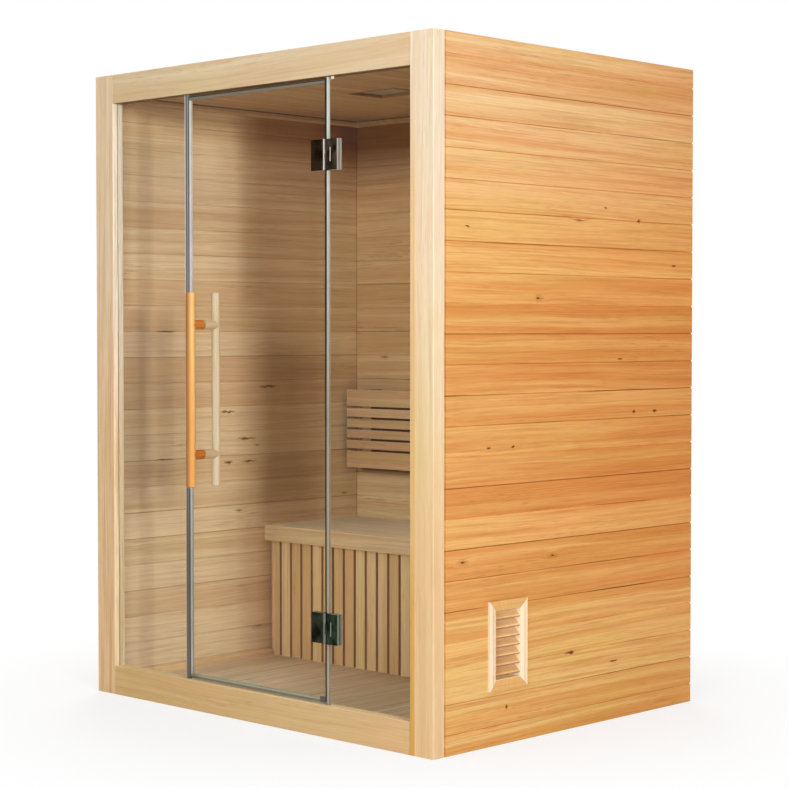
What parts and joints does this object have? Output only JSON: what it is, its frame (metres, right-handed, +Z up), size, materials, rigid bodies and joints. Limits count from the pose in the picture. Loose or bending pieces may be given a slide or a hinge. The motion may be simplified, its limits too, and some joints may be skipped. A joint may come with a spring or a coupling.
{
  "type": "two-seat sauna cabin",
  "caption": "Box-shaped sauna cabin of horizontal boards with a glass front, a hinged glass door, a wide bench, a slatted backrest and a louvred air vent.",
  "frame": {"origin": "middle of the cabin footprint, at floor level", "axes": "+X to the right seen from outside the glass front, +Y into the cabin, +Z up"},
  "size_m": [1.508, 1.2445, 2],
  "materials": {
    "frame_wood": "planed pale softwood",
    "outer_board": "clear-oiled warm boards",
    "inner_board": "planed untreated boards",
    "handle_wood": "clear-varnished turned wood",
    "handle_pale_wood": "sanded turned wood",
    "bench_wood": "sanded untreated boards",
    "backrest_wood": "sanded untreated boards",
    "glass": "clear tempered glass with polished edges",
    "seal": "translucent grey strip",
    "hinge_metal": "polished",
    "light_panel": "frosted"
  },
  "bodies": {
    "cabin": {"front_post_left": "frame_wood", "front_post_right": "frame_wood", "front_header": "frame_wood", "front_sill": "frame_wood", "fixed_glass_left": "glass", "fixed_glass_right": "glass", "fixed_seal_left": "seal", "fixed_seal_right": "seal", "upper_hinge_fixed_leaf": "hinge_metal", "lower_hinge_fixed_leaf": "hinge_metal", "left_wall_cladding": "outer_board", "left_wall_lining": "inner_board", "right_wall_cladding": "outer_board", "right_wall_lining": "inner_board", "back_wall_cladding": "outer_board", "back_wall_lining": "inner_board", "floor_bearers": "inner_board", "floor_boards": "inner_board", "roof_joists": "inner_board", "roof_boards": "outer_board", "ceiling_lining": "inner_board", "ceiling_trim": "inner_board", "skirting": "inner_board", "ceiling_light": "light_panel", "bench_seat_boards": "bench_wood", "bench_fascia": "bench_wood", "bench_slat_screen": "bench_wood", "bench_ledger_left": "bench_wood", "bench_ledger_right": "bench_wood", "bench_ledger_back": "bench_wood", "backrest_boards": "backrest_wood", "backrest_batten_left": "backrest_wood", "backrest_batten_middle": "backrest_wood", "backrest_batten_right": "backrest_wood", "vent_frame": "frame_wood", "vent_louvres": "frame_wood"},
    "door": {"door_glass": "glass", "door_edge_seal": "seal", "upper_hinge_door_leaf": "hinge_metal", "lower_hinge_door_leaf": "hinge_metal", "handle_outer_bar": "handle_wood", "handle_outer_posts": "handle_wood", "handle_inner_bar": "handle_pale_wood", "handle_inner_posts": "handle_pale_wood"}
  },
  "joints": [
    {"name": "door_hinge", "type": "hinge", "parent": "cabin", "child": "door", "pos_m": [0.309, -0.589, 1], "axis": [0, 0, 1], "range_deg": [0, 100]}
  ]
}
